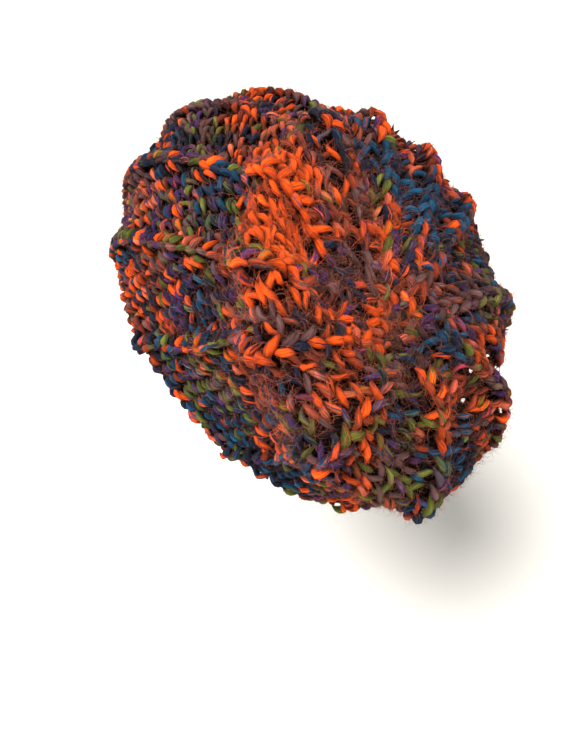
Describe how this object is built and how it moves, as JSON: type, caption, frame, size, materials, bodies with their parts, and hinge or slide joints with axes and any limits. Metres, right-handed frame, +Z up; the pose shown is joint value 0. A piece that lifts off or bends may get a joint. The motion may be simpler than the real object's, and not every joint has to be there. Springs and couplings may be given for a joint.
{
  "type": "knit hat",
  "caption": "Slouchy hand-knitted tam in thick variegated wool, with raised ridges and a loose gathered crown, as worn.",
  "frame": {"origin": "the middle of the head opening", "axes": "+Z straight up as worn, -Y the way the wearer faces, +X towards the wearer's left ear; the hat leans back towards the nape"},
  "size_m": [0.1849, 0.229, 0.1997],
  "materials": {
    "band_knit": "matte, thick hand-knitted wool",
    "body_knit": "matte, thick hand-knitted wool"
  },
  "bodies": {
    "root": {"brim": "band_knit", "upper_band": "band_knit", "slouch_body": "body_knit"}
  },
  "joints": []
}
